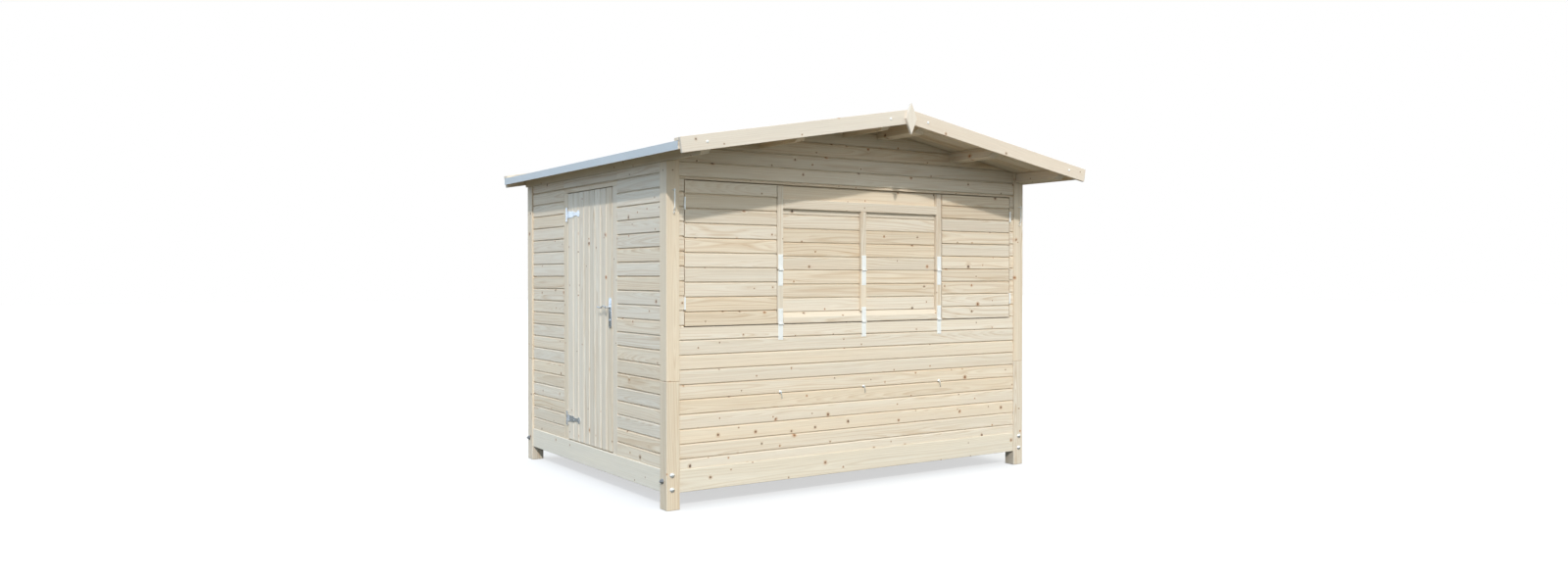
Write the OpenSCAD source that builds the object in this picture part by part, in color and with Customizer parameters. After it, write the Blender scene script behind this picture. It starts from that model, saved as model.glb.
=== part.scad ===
// A wooden market hut: four posts, horizontal board walls, a side door, a serving
// hatch with two side-hung shutters and a folding counter, and a shallow gable roof.
// Millimetres. X runs across the front, +Y to the back, +Z up. The origin is on the
// ground, under the centre of the roof.

/* [Hut] */
// Width over the corner posts
hut_w = 3200; // [2600:10:4200]
// Depth over the corner posts
hut_d = 2460; // [2100:10:3400]
// Height of the roof boards' top at the eave edge
eave_z = 2302; // [2270:1:2900]
// Side of a square corner post
post_w = 96; // [80:1:120]
// Height of the joint between the two lengths of a post
post_joint_z = 827; // [400:1:1600]
// How far the post faces stand out from the wall boards
post_proud = 12; // [8:1:20]
// Thickness of the wall boards
wall_t = 28; // [18:1:40]

/* [Base] */
// Clear height under the sills
foot_h = 109; // [60:1:200]
// Height of a sill beam
sill_h = 148; // [110:1:200]
// Thickness of a sill beam
sill_t = 45; // [34:1:60]
// How far the post faces stand out from the sills
sill_back = 6; // [2:1:8]
// Thickness of the floor boards
floor_t = 22; // [16:1:34]
// Height of a floor joist
joist_h = 95; // [60:1:110]
// Thickness of a floor joist
joist_t = 45; // [30:1:60]
// Number of floor joists
joist_n = 4; // [2:1:6]

/* [Serving hatch] */
// Height of the hatch's lower edge
hatch_z = 1177; // [1000:1:1300]
// Height of the hatch's upper edge
hatch_top_z = 2127; // [1900:1:2180]
// Width of the strip of wall between a post and a shutter
strip_w = 38; // [30:1:120]
// Width of the folding counter panel
counter_w = 1487; // [900:1:1700]
// Height of the counter's lower leaf, from hinge line to hinge line
flap_h = 370; // [250:1:450]
// Gap round each opening leaf
leaf_gap = 7; // [6:0.5:10]
// Gap between the counter's two leaves
fold_gap = 5; // [3:0.5:8]
// Thickness of the counter's stiles and rails
counter_t = 40; // [32:1:50]
// Depth of the counter's boards behind its stiles
recess = 25; // [10:1:30]
// Width of a stile
stile_w = 48; // [36:1:70]
// Height of the bottom rail of the counter
bottom_rail_h = 76; // [50:1:100]
// Height of the sloped top of the bottom rail
rail_slope_h = 36; // [10:1:50]
// Height of the top rail of the counter
top_rail_h = 65; // [50:1:90]
// Distance of the top rail under the panel's top edge
top_rail_drop = 92; // [60:1:120]
// Thickness of a shutter's boards
shutter_t = 28; // [18:1:40]
// Width of the ledges on the inside of shutters and door
ledge_w = 90; // [60:1:120]
// Thickness of the ledges
ledge_t = 20; // [14:1:28]
// Depth of the studs into the hut
stud_d = 44; // [30:1:54]

/* [Door] */
// Distance of the door frame from the front post's outer face
door_y = 761; // [500:1:1000]
// Clear width between the jambs
door_w = 803; // [700:1:950]
// Width of a jamb
jamb_w = 75; // [50:1:100]
// Thickness of a jamb
jamb_t = 45; // [34:1:50]
// Height of the door leaf's top edge
door_top_z = 2131; // [1900:1:2150]
// Gap under the door leaf
door_foot_gap = 9; // [6:1:20]
// Gap above the door leaf
door_head_gap = 6; // [5:1:12]
// Gap at the door's lock edge
door_lock_gap = 6; // [6:0.5:10]
// Gap at the door's hinge edge
door_hinge_gap = 5; // [5:0.5:8]
// Thickness of the door leaf
door_t = 28; // [18:1:40]
// Distance of the hinge centres from the leaf's ends
door_hinge_inset = 158; // [100:1:300]
// Height of the handle's spindle
handle_z = 1287; // [1000:1:1400]

/* [Hinges] */
// Radius of the small hinges' knuckles
knuckle_r = 6; // [5:0.5:8]
// Distance of the small hinges' axes in front of the wall boards
axis_out = 6.5; // [6:0.5:9]
// Thickness of a hinge plate
plate_t = 2.5; // [2:0.5:4]
// Length of a counter hinge plate from its axis
plate_l = 107; // [70:1:130]
// Width of a counter hinge plate
plate_w = 38; // [30:1:46]
// Length of a shutter hinge
butt_l = 82; // [60:1:120]
// Distance of the shutter hinges' centres from the leaf's ends
butt_inset = 148; // [90:1:250]
// Radius of the door hinges' knuckles
tee_r = 7; // [6:0.5:9]
// Distance of the door hinges' axis in front of the jamb
tee_out = 8; // [7.5:0.5:11]
// Length of a door hinge's fixed plate
tee_bar_l = 105; // [80:1:160]
// Width of a door hinge's fixed plate
tee_bar_w = 32; // [24:1:40]
// Length of a door hinge's strap
strap_l = 232; // [150:1:400]
// Thickness of a door hinge's strap
strap_t = 4; // [3:0.5:5]
// Free space between hinge knuckles
knuckle_gap = 0.4; // [0.3:0.1:0.8]

/* [Roof] */
// Slope of the roof in degrees
roof_a = 10; // [6:0.5:20]
// Overhang of the roof past the side posts
side_over = 167; // [100:1:300]
// Overhang of the roof past the front posts, to the bargeboard's face
front_over = 494; // [250:1:700]
// Overhang of the roof past the rear posts, to the bargeboard's face
rear_over = 94; // [94:1:300]
// Thickness of the roof boards
deck_t = 19; // [16:1:28]
// Thickness of the roofing felt
felt_t = 3; // [2:0.5:5]
// Width of a bargeboard
barge_w = 96; // [80:1:140]
// Thickness of a bargeboard
barge_t = 24; // [18:1:30]
// Rise of the bargeboard's top edge over the roof boards' top
barge_rise = 25; // [22:1:40]
// Width of a purlin
purlin_w = 70; // [60:1:100]
// Height of a purlin
purlin_h = 72; // [56:1:100]
// Distance of the purlins' front ends behind the bargeboard
purlin_back = 10; // [10:1:150]
// Length of the sloped cut under the purlins' front ends
purlin_cut = 55; // [20:1:100]
// Distance from the hut's middle to the middle of each ridge purlin
ridge_purlin_x = 165; // [100:1:250]
// Height of the eave's edging, from the roof boards' top down
drip_h = 46; // [36:1:70]
// Thickness of the eave's sheet-metal edging
drip_t = 2; // [1.5:0.5:3]
// Width of the edging's flange on the roof
drip_flange = 60; // [40:1:100]
// Thickness of the lath behind the eave's edging
fascia_t = 20; // [15:1:30]
// Width of the roof-edge battens
batten_w = 50; // [30:1:70]
// Height of the roof-edge battens
batten_h = 18; // [12:1:20]
// Width of the diamond-shaped finial
finial_w = 96; // [70:1:140]
// Height of the diamond-shaped finial
finial_h = 213; // [160:1:280]
// Thickness of the finial
finial_t = 20; // [14:1:28]
// Distance of the finial's middle under the ridge of the roof boards
finial_drop = 40; // [20:1:60]

/* [Ironmongery] */
// Length of the cabin hooks on the front posts
hook_l = 126; // [90:1:160]
// Height of the cabin hooks' upper eyes
hook_z = 2055; // [1850:1:2120]
// Distance of the cabin hooks in front of the posts
hook_out = 26; // [16:1:32]
// Height of the three counter hooks
counter_hook_z = 712; // [500:1:760]

/* [Hidden] */

half_w = hut_w / 2;
// y of the front posts' front faces and of the rear posts' rear faces
front_y = -(hut_d + front_over + rear_over) / 2 + front_over;
rear_y = front_y + hut_d;
// outer faces of the wall boards
wall_x = half_w - post_proud;
wall_front_y = front_y + post_proud;
wall_rear_y = rear_y - post_proud;
sill_top = foot_h + sill_h;
seat = 0.3;

// roof heights: a line parallel with the roof, at a depth under the boards' top
eave_x = half_w + side_over;
slope = tan(roof_a);
function roof_z(x, depth) = eave_z + (eave_x - abs(x)) * slope - depth / cos(roof_a);
felt_top = felt_t + seat;
edging_top = felt_top + seat + drip_t;
purlin_top = deck_t + seat;
purlin_depth = purlin_top + purlin_h;
barge_front_y = front_y - front_over;
barge_rear_y = rear_y + rear_over;
deck_front_y = barge_front_y + barge_t;
deck_rear_y = barge_rear_y - barge_t;
deck_l = deck_rear_y - deck_front_y;
purlin_front_y = deck_front_y + purlin_back;
purlin_rear_y = deck_rear_y - seat;
// the eave purlins' lower outer corners are level with the walls' outer faces
eave_purlin_x = wall_x - purlin_w / 2 * cos(roof_a) + purlin_h * sin(roof_a);
mid_purlin_x = (ridge_purlin_x + eave_purlin_x) / 2;
far = 4 * (hut_w + hut_d);

// hatch
strip_in = half_w - post_w - strip_w;
leaf_z = hatch_z + leaf_gap / 2;
leaf_top = hatch_top_z - leaf_gap / 2;
shutter_out = strip_in - leaf_gap;
shutter_in = counter_w / 2 + leaf_gap;
shutter_w = shutter_out - shutter_in;
shutter_axis_x = strip_in - leaf_gap / 2;
hatch_axis_y = wall_front_y - axis_out;
fold_z = hatch_z + flap_h;
stile_xs = [-(counter_w - stile_w) / 2, 0, (counter_w - stile_w) / 2];
butt_zs = [leaf_z + butt_inset, leaf_top - butt_inset];
// how much shorter a shutter hinge's turned-in plate is than the boards are thick
butt_short = 4;

// door
jamb_front_y = front_y + door_y;
door_front_y = jamb_front_y + jamb_w;
door_rear_y = door_front_y + door_w;
jamb_rear_y = door_rear_y + jamb_w;
leaf_front_y = door_front_y + door_lock_gap;
leaf_rear_y = door_rear_y - door_hinge_gap;
door_z = sill_top + door_foot_gap;
door_head_z = door_top_z + door_head_gap;
door_axis_x = -wall_x - tee_out;
door_axis_y = door_rear_y - door_hinge_gap / 2;
door_hinge_zs = [door_z + door_hinge_inset, door_top_z - door_hinge_inset];

wood = "BurlyWood";
steel = "Silver";

// ---- helpers -------------------------------------------------------------

// a block from one corner to the opposite one
module block(a, b) {
    translate(a) cube(b - a);
}

// cut away everything above a plane parallel with the roof on both slopes
module under_roof(depth) {
    difference() {
        children();
        rotate([90, 0, 0]) linear_extrude(far, center = true)
            polygon([[-far, roof_z(far, depth)], [0, roof_z(0, depth)], [far, roof_z(far, depth)],
                [far, far], [-far, far]]);
    }
}

// a bar along Y under the roof boards, tilted with the slope it lies under. It reaches down
// by h and up by rise from the line at that depth
module sloped_bar(x, w, h, y0, y1, depth, cut, rise = 0) {
    s = x < 0 ? -1 : 1;
    translate([x, 0, roof_z(x, depth)]) rotate([0, s * roof_a, 0]) translate([-w / 2, 0, -h])
        tapered_bar(w, h + rise, y0, y1, cut);
}

// a bar along Y whose front end is cut up under a slope
module tapered_bar(w, h, y0, y1, cut) {
    rotate([90, 0, 90]) linear_extrude(w)
        polygon([[y0 + cut, 0], [y1, 0], [y1, h], [y0, h], [y0, h * 0.55]]);
}

// plate of a hinge whose axis is the local Z axis. The plate lies towards +X, and the face
// that it is screwed to is out behind the axis, towards +Y.
// thirds says which thirds of the length carry a knuckle.
module hinge_leaf(r, out, l, w, t, thirds) {
    third = l / 3;
    translate([r + 1, out - t, -l / 2]) cube([w - r - 1, t, l]);
    for (k = thirds) {
        z0 = -l / 2 + k * third + (k == 0 ? 0 : knuckle_gap / 2);
        z1 = -l / 2 + (k + 1) * third - (k == 2 ? 0 : knuckle_gap / 2);
        translate([0, 0, z0]) cylinder(r = r, h = z1 - z0, $fn = 32);
        translate([0, out - t, z0]) cube([r + 1.5, t, z1 - z0]);
    }
}

// the same, with its leaf turned back into the gap beside the axis
module butt_leaf(r, out, l, depth, t, gap, thirds) {
    third = l / 3;
    translate([gap / 2 - t, 0, 0]) difference() {
        translate([0, 0, -l / 2]) cube([t, out + depth, l]);
        for (k = [0:2]) if (len(search(k, thirds)) == 0)
            translate([-1, -1, -l / 2 + k * third - knuckle_gap / 2])
                cube([t + 2, 1 + r + 1, third + knuckle_gap]);
    }
    for (k = thirds) {
        z0 = -l / 2 + k * third + (k == 0 ? 0 : knuckle_gap / 2);
        z1 = -l / 2 + (k + 1) * third - (k == 2 ? 0 : knuckle_gap / 2);
        translate([0, 0, z0]) cylinder(r = r, h = z1 - z0, $fn = 32);
    }
}

// ---- posts and base --------------------------------------------------------

// a post in two lengths. The top is cut out for the eave purlin, which lies in it
module post(x, y) {
    s = x < 0 ? -1 : 1;
    cut_w = far + purlin_w / 2 + seat;
    color(wood) {
        block([x, y, 0], [x + post_w, y + post_w, post_joint_z - seat]);
        difference() {
            under_roof(deck_t + seat)
                block([x, y, post_joint_z + seat], [x + post_w, y + post_w, eave_z + purlin_depth]);
            translate([s * eave_purlin_x, 0, roof_z(eave_purlin_x, purlin_top)])
                rotate([0, s * roof_a, 0])
                    translate([s > 0 ? -purlin_w / 2 - seat : -far, -far, -purlin_h - seat])
                        cube([cut_w, 2 * far, far]);
        }
    }
}
module front_left_post() { post(-half_w, front_y); }
module front_right_post() { post(half_w - post_w, front_y); }
module rear_left_post() { post(-half_w, rear_y - post_w); }
module rear_right_post() { post(half_w - post_w, rear_y - post_w); }

module cross_sill(y) {
    color(wood) block([-half_w + post_w, y, foot_h], [half_w - post_w, y + sill_t, sill_top]);
}
module front_sill() { cross_sill(front_y + sill_back); }
module rear_sill() { cross_sill(rear_y - sill_back - sill_t); }

module side_sill(x) {
    color(wood) block([x, front_y + post_w, foot_h], [x + sill_t, rear_y - post_w, sill_top]);
}
module left_sill() { side_sill(-half_w + sill_back); }
module right_sill() { side_sill(half_w - sill_back - sill_t); }

module floor_joists() {
    pitch = (hut_w - 2 * post_w - joist_t) / (joist_n - 1);
    color(wood) for (i = [0:joist_n - 1]) {
        x = -half_w + post_w + i * pitch;
        block([x, front_y + sill_back + sill_t, sill_top - floor_t - joist_h],
            [x + joist_t, rear_y - sill_back - sill_t, sill_top - floor_t]);
    }
}

module floor_boards() {
    x1 = half_w - sill_back - sill_t;
    y0 = front_y + sill_back + sill_t;
    y1 = rear_y - sill_back - sill_t;
    color("Tan") difference() {
        block([-x1, y0, sill_top - floor_t], [x1, y1, sill_top]);
        for (sx = [-1, 1], y = [front_y, rear_y - post_w])
            translate([sx * (half_w - post_w / 2 + 1), y, foot_h])
                translate([-post_w / 2 - 1, 0, 0]) cube([post_w + 2, post_w, sill_h + 1]);
    }
}

// ---- walls -----------------------------------------------------------------

// room for the purlins where they pass through the gable walls
module purlin_slots() {
    difference() {
        children();
        for (s = [-1, 1], x = [ridge_purlin_x, mid_purlin_x, eave_purlin_x])
            sloped_bar(s * x, purlin_w + 2 * seat, purlin_h + seat, -far, far, purlin_top, 0, purlin_h);
    }
}

module front_wall() {
    color(wood) block([-half_w + post_w, wall_front_y, sill_top],
        [half_w - post_w, wall_front_y + wall_t, hatch_z - leaf_gap / 2]);
}

module front_wall_strips() {
    color(wood) for (x = [-half_w + post_w, strip_in])
        block([x, wall_front_y, hatch_z - leaf_gap / 2],
            [x + strip_w, wall_front_y + wall_t, hatch_top_z + leaf_gap / 2]);
}

module gable(y, z0) {
    color(wood) purlin_slots() under_roof(deck_t + seat)
        block([-half_w + post_w, y, z0], [half_w - post_w, y + wall_t, roof_z(0, 0)]);
}
module front_gable() { gable(wall_front_y, hatch_top_z + leaf_gap / 2); }
module rear_wall() { gable(wall_rear_y - wall_t, sill_top); }

module hatch_studs() {
    y = wall_front_y + wall_t;
    color(wood) under_roof(purlin_depth + seat) for (x = [-half_w + post_w, strip_in])
        block([x, y, sill_top], [x + strip_w, y + stud_d, eave_z + purlin_depth]);
}

module side_wall(x, y0, y1, z0) {
    color(wood) under_roof(purlin_depth + seat) block([x, y0, z0], [x + wall_t, y1, eave_z + purlin_depth]);
}
module left_wall_front() { side_wall(-wall_x, front_y + post_w, jamb_front_y, sill_top); }
module left_wall_rear() { side_wall(-wall_x, jamb_rear_y, rear_y - post_w, sill_top); }
module left_wall_head() { side_wall(-wall_x, jamb_front_y, jamb_rear_y, door_head_z); }
module right_wall() { side_wall(wall_x - wall_t, front_y + post_w, rear_y - post_w, sill_top); }

// ---- door ------------------------------------------------------------------

module door_jambs() {
    color(wood) for (y = [jamb_front_y, door_rear_y])
        block([-wall_x, y, sill_top], [-wall_x + jamb_t, y + jamb_w, door_head_z]);
}

module door_leaf() {
    color(wood) {
        block([-wall_x, leaf_front_y, door_z], [-wall_x + door_t, leaf_rear_y, door_top_z]);
        for (z = door_hinge_zs)
            block([-wall_x + door_t, leaf_front_y + ledge_w, z - ledge_w / 2],
                [-wall_x + door_t + ledge_t, leaf_rear_y - ledge_w / 2, z + ledge_w / 2]);
    }
}

// outline of a decorative strap, from its root at the knuckle to its round end
module strap_outline(l) {
    root = 27;
    neck = 13;
    spade = 24;
    x0 = tee_r + 1;
    polygon([[x0, -root], [l * 0.34, 2 - spade], [l * 0.60, -neck], [l - spade, -neck],
        [l - spade, neck], [l * 0.60, neck], [l * 0.34, spade - 2], [x0, root]]);
    for (x = [l * 0.42, l - spade]) translate([x, 0]) circle(r = spade, $fn = 32);
}

module door_straps() {
    color(steel) for (z = door_hinge_zs) translate([door_axis_x, door_axis_y, z]) rotate([0, 0, -90]) {
        translate([0, tee_out, 0]) rotate([90, 0, 0]) linear_extrude(strap_t) strap_outline(strap_l);
        third = tee_bar_l / 3;
        translate([0, 0, -third / 2 + knuckle_gap / 2]) {
            cylinder(r = tee_r, h = third - knuckle_gap, $fn = 32);
            translate([0, tee_out - strap_t, 0]) cube([tee_r + 4, strap_t, third - knuckle_gap]);
        }
    }
}

module lever_set(side) {
    neck_l = 42;
    lever_l = 140;
    color(steel) mirror([side < 0 ? 0 : 1, 0, 0]) {
        translate([-8, -20, -150]) cube([8, 40, 218]);
        translate([-neck_l - 8, 0, 0]) rotate([0, 90, 0]) cylinder(r = 9, h = neck_l, $fn = 24);
        translate([-neck_l - 8, 0, 0]) hull() {
            sphere(r = 9.5, $fn = 20);
            translate([0, lever_l, 0]) sphere(r = 7, $fn = 20);
        }
    }
}
module door_handle() {
    backset = 26;
    translate([-wall_x, leaf_front_y + backset, handle_z]) lever_set(-1);
    translate([-wall_x + door_t, leaf_front_y + backset, handle_z]) lever_set(1);
}

// ---- plates screwed to the fixed walls: door, shutters and counter -----------

module hinge_plates() {
    color(steel) {
        for (z = door_hinge_zs) translate([door_axis_x, door_axis_y, z]) rotate([0, 0, -90]) mirror([1, 0, 0])
            hinge_leaf(tee_r, tee_out, tee_bar_l, tee_bar_w, strap_t, [0, 2]);
        for (z = butt_zs, s = [-1, 1])
            translate([s * shutter_axis_x, hatch_axis_y, z]) mirror([s < 0 ? 1 : 0, 0, 0])
                butt_leaf(knuckle_r, axis_out, butt_l, wall_t - butt_short, plate_t, leaf_gap, [0, 2]);
        for (x = stile_xs) translate([x, hatch_axis_y, hatch_z]) rotate([0, 90, 0])
            hinge_leaf(knuckle_r, axis_out, plate_w, plate_l, plate_t, [0, 2]);
    }
}

// ---- shutters ----------------------------------------------------------------

module shutter(s) {
    x0 = s < 0 ? -shutter_out : shutter_in;
    color(wood) {
        block([x0, wall_front_y, leaf_z], [x0 + shutter_w, wall_front_y + shutter_t, leaf_top]);
        for (x = [x0 + ledge_w, x0 + shutter_w - 2 * ledge_w])
            block([x, wall_front_y + shutter_t, leaf_z + ledge_w / 2],
                [x + ledge_w, wall_front_y + shutter_t + ledge_t, leaf_top - ledge_w / 2]);
    }
}
module left_shutter() { shutter(-1); }
module right_shutter() { shutter(1); }

module shutter_hinges(s) {
    color(steel) for (z = butt_zs)
        translate([s * shutter_axis_x, hatch_axis_y, z]) mirror([s < 0 ? 0 : 1, 0, 0])
            butt_leaf(knuckle_r, axis_out, butt_l, shutter_t - butt_short, plate_t, leaf_gap, [1]);
}
module left_shutter_hinges() { shutter_hinges(-1); }
module right_shutter_hinges() { shutter_hinges(1); }

// ---- folding counter -----------------------------------------------------------

// boards set back between stiles, from z0 to z1
module framed_leaf(z0, z1) {
    block([-counter_w / 2, wall_front_y + recess, z0], [counter_w / 2, wall_front_y + counter_t, z1]);
    for (x = [stile_xs[0], stile_xs[2]])
        block([x - stile_w / 2, wall_front_y, z0], [x + stile_w / 2, wall_front_y + counter_t, z1]);
}

module counter_flap() {
    z1 = fold_z - fold_gap / 2;
    rail_z = leaf_z + bottom_rail_h;
    color(wood) {
        framed_leaf(leaf_z, z1);
        block([-stile_w / 2, wall_front_y, leaf_z], [stile_w / 2, wall_front_y + recess, z1]);
        translate([-counter_w / 2, wall_front_y, 0]) rotate([90, 0, 90]) linear_extrude(counter_w)
            polygon([[0, leaf_z], [recess, leaf_z], [recess, rail_z], [0, rail_z - rail_slope_h]]);
    }
}

module counter_brace() {
    z0 = fold_z + fold_gap / 2;
    rail_top = leaf_top - top_rail_drop;
    rail_z = rail_top - top_rail_h;
    color(wood) {
        framed_leaf(z0, leaf_top);
        block([-stile_w / 2, wall_front_y, z0], [stile_w / 2, wall_front_y + recess, rail_z]);
        block([-counter_w / 2, wall_front_y, rail_z], [counter_w / 2, wall_front_y + recess, rail_top]);
    }
}

module counter_flap_hinges() {
    color(steel) for (x = stile_xs) {
        translate([x, hatch_axis_y, hatch_z]) rotate([0, -90, 0])
            hinge_leaf(knuckle_r, axis_out, plate_w, plate_l, plate_t, [1]);
        translate([x, hatch_axis_y, fold_z]) rotate([0, 90, 0])
            hinge_leaf(knuckle_r, axis_out, plate_w, plate_l, plate_t, [0, 2]);
    }
}

module counter_brace_hinges() {
    color(steel) for (x = stile_xs) translate([x, hatch_axis_y, fold_z]) rotate([0, -90, 0])
        hinge_leaf(knuckle_r, axis_out, plate_w, plate_l, plate_t, [1]);
}

// ---- hooks -----------------------------------------------------------------------

module counter_hooks() {
    stem = 14;
    wire = 2.5;
    tail_l = 44;
    color(steel) for (x = stile_xs) translate([x, wall_front_y, counter_hook_z]) {
        rotate([90, 0, 0]) cylinder(r = 3.5, h = stem, $fn = 24);
        translate([0, -stem + wire + 1, -tail_l]) cylinder(r = wire, h = tail_l, $fn = 16);
    }
}

module cabin_hooks() {
    wire = 4;
    color(steel) for (s = [-1, 1]) translate([s * (half_w - post_w / 2), front_y, hook_z]) {
        rotate([90, 0, 0]) cylinder(r = wire + 1, h = hook_out + wire + 1, $fn = 24);
        translate([0, -hook_out, -hook_l]) cylinder(r = wire, h = hook_l, $fn = 20);
        translate([0, 0, 2 * wire - hook_l]) rotate([90, 0, 0])
            cylinder(r = wire - 1, h = hook_out, $fn = 20);
    }
}

// ---- roof ------------------------------------------------------------------------

module ridge_purlins() {
    color(wood) for (x = [-ridge_purlin_x, ridge_purlin_x])
        sloped_bar(x, purlin_w, purlin_h, purlin_front_y, purlin_rear_y, purlin_top, purlin_cut);
}

module mid_purlins() {
    color(wood) for (x = [-mid_purlin_x, mid_purlin_x])
        sloped_bar(x, purlin_w, purlin_h, purlin_front_y, purlin_rear_y, purlin_top, purlin_cut);
}

module eave_purlins() {
    color(wood) for (x = [-eave_purlin_x, eave_purlin_x])
        sloped_bar(x, purlin_w, purlin_h, purlin_front_y, purlin_rear_y, purlin_top, purlin_cut);
}

// a layer parallel with the roof, between two depths, on one slope, from x0 outwards to x1
module layer(s, x0, x1, depth0, depth1, y0, y1) {
    translate([0, y1, 0]) rotate([90, 0, 0]) linear_extrude(y1 - y0)
        polygon([[s * x0, roof_z(x0, depth0)], [s * x1, roof_z(x1, depth0)],
            [s * x1, roof_z(x1, depth1)], [s * x0, roof_z(x0, depth1)]]);
}

module roof_boards(s) {
    color(wood) layer(s, seat / 2, eave_x, 0, deck_t, deck_front_y, deck_rear_y);
}
module left_roof_boards() { roof_boards(-1); }
module right_roof_boards() { roof_boards(1); }

module roof_felt() {
    color("DimGray") for (s = [-1, 1]) layer(s, 0, eave_x - 1, -felt_top, -seat, deck_front_y, deck_rear_y);
}

module bargeboards(y) {
    top = -barge_rise;
    color(wood) for (s = [-1, 1]) translate([0, y + barge_t, 0]) rotate([90, 0, 0]) linear_extrude(barge_t)
        polygon([[s * seat / 2, roof_z(0, top)], [s * eave_x, roof_z(eave_x, top)],
            [s * (eave_x - barge_w * sin(roof_a)), roof_z(eave_x, top) - barge_w * cos(roof_a)],
            [s * seat / 2, roof_z(0, top) - barge_w / cos(roof_a)]]);
}
module front_bargeboards() { bargeboards(barge_front_y); }
module rear_bargeboards() { bargeboards(barge_rear_y - barge_t); }

module finials() {
    mid_z = roof_z(0, 0) - finial_drop;
    color(wood) for (y = [barge_front_y - finial_t, barge_rear_y])
        translate([0, y + finial_t, mid_z]) rotate([90, 0, 0]) linear_extrude(finial_t)
            polygon([[-finial_w / 2, 0], [0, -finial_h / 2], [finial_w / 2, 0], [0, finial_h / 2]]);
}

module eave_laths() {
    color(wood) for (s = [-1, 1])
        layer(s, eave_x - fascia_t, eave_x, deck_t + seat, drip_h, deck_front_y, deck_rear_y);
}

module eave_edgings() {
    y0 = deck_front_y + seat;
    y1 = deck_rear_y - seat;
    color("LightSteelBlue") for (s = [-1, 1]) {
        layer(s, eave_x - drip_flange, eave_x + drip_t, -edging_top, -felt_top - seat, y0, y1);
        layer(s, eave_x, eave_x + drip_t, -edging_top, drip_h, y0, y1);
    }
}

module roof_edge_battens() {
    under = -edging_top - seat;
    color("Gray") for (s = [-1, 1], y = [deck_front_y, deck_rear_y - batten_w])
        layer(s, seat / 2, eave_x, under - batten_h, under, y, y + batten_w);
}

front_left_post();
front_right_post();
rear_left_post();
rear_right_post();
front_sill();
rear_sill();
left_sill();
right_sill();
floor_joists();
floor_boards();
front_wall();
front_wall_strips();
front_gable();
hatch_studs();
left_wall_front();
left_wall_rear();
left_wall_head();
right_wall();
rear_wall();
door_jambs();
door_leaf();
door_straps();
door_handle();
hinge_plates();
left_shutter();
left_shutter_hinges();
right_shutter();
right_shutter_hinges();
counter_flap();
counter_flap_hinges();
counter_brace();
counter_brace_hinges();
counter_hooks();
cabin_hooks();
ridge_purlins();
mid_purlins();
eave_purlins();
left_roof_boards();
right_roof_boards();
front_bargeboards();
rear_bargeboards();
finials();
eave_laths();
eave_edgings();
roof_felt();
roof_edge_battens();
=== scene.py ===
# %% [markdown]
# # A market hut in planed spruce
#
# The hut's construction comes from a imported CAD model: every post, wall, leaf and hinge has its
# true place and size there. This lesson gives it its looks. Each wall slab becomes a stack of
# tongued boards, each beam gets eased edges, and grain, knots and metal are worked out in the
# shaders. Nothing is moved or resized: every new piece is built inside the space of the CAD node
# that it stands for, and rides on the same body, so doors and shutters still swing.

# %% Load the frame
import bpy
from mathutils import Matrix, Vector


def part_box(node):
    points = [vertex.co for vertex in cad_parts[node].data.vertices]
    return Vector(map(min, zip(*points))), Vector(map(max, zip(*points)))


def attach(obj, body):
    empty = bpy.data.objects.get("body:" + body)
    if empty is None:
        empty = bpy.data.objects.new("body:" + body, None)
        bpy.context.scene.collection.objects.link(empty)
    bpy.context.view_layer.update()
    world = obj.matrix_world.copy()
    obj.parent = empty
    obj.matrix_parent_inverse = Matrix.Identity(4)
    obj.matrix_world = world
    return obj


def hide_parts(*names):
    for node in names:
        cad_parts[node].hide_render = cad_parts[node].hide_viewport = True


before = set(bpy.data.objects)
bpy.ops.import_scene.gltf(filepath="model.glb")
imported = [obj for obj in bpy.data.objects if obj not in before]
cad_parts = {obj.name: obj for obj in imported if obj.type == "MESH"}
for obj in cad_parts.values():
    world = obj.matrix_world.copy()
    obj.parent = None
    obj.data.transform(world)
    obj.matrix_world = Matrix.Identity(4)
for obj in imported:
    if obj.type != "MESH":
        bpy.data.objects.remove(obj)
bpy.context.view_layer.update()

# %% Modules and driving values
import math
import bmesh
import bpy
import numpy as np

dice = np.random.default_rng(20)
board_pitch = 0.096
roof_pitch = math.radians(10)
seat = 0.0003


def box(node):
    """Lowest and highest corner of a CAD node, as two arrays in metres."""
    low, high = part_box(node)
    return np.array(low), np.array(high)


# %% [markdown]
# ## The roof's plane
#
# Much of the hut ends under the two roof slopes. The slope is a straight line in each cross
# section, so one function gives its height anywhere: the ridge's height, less the run times the
# tangent of the pitch. A depth is measured square to the slope, so it is divided by the cosine.

# %% The roof line
ridge_z = box("left_roof_boards")[1][2]
eave_x = -box("left_roof_boards")[0][0]
deck_thick = 0.019
under_deck = deck_thick + seat


def roof_z(x, depth=0.0):
    """Height under the roof: ridge height - |x| * tan(pitch) - depth / cos(pitch)."""
    return ridge_z - np.abs(x) * math.tan(roof_pitch) - depth / math.cos(roof_pitch)


def roof_x(z, depth=0.0):
    """Half width under the roof at a height: the roof line solved for x, and at least 0."""
    run = (ridge_z - depth / math.cos(roof_pitch) - z) / math.tan(roof_pitch)
    return np.maximum(run, 0.0)


def roof_up(side):
    """Unit vector square to a slope, pointing up. side is -1 on the left and 1 on the right."""
    return np.array([side * math.sin(roof_pitch), 0, math.cos(roof_pitch)])


print("ridge", round(ridge_z, 4), "eave", round(float(roof_z(eave_x)), 4))

# %% [markdown]
# ## Camera, light and floor
#
# The hut is seen from its front left corner at standing eye height, with a wide lens. The sun, from
# the front left, draws the gable's shadow over the hatch, and a pale sky fills the rest. The floor
# is a plain pale sheet. The camera's place is kept as steps from the front left post, so it follows
# the hut if its size changes.

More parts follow.
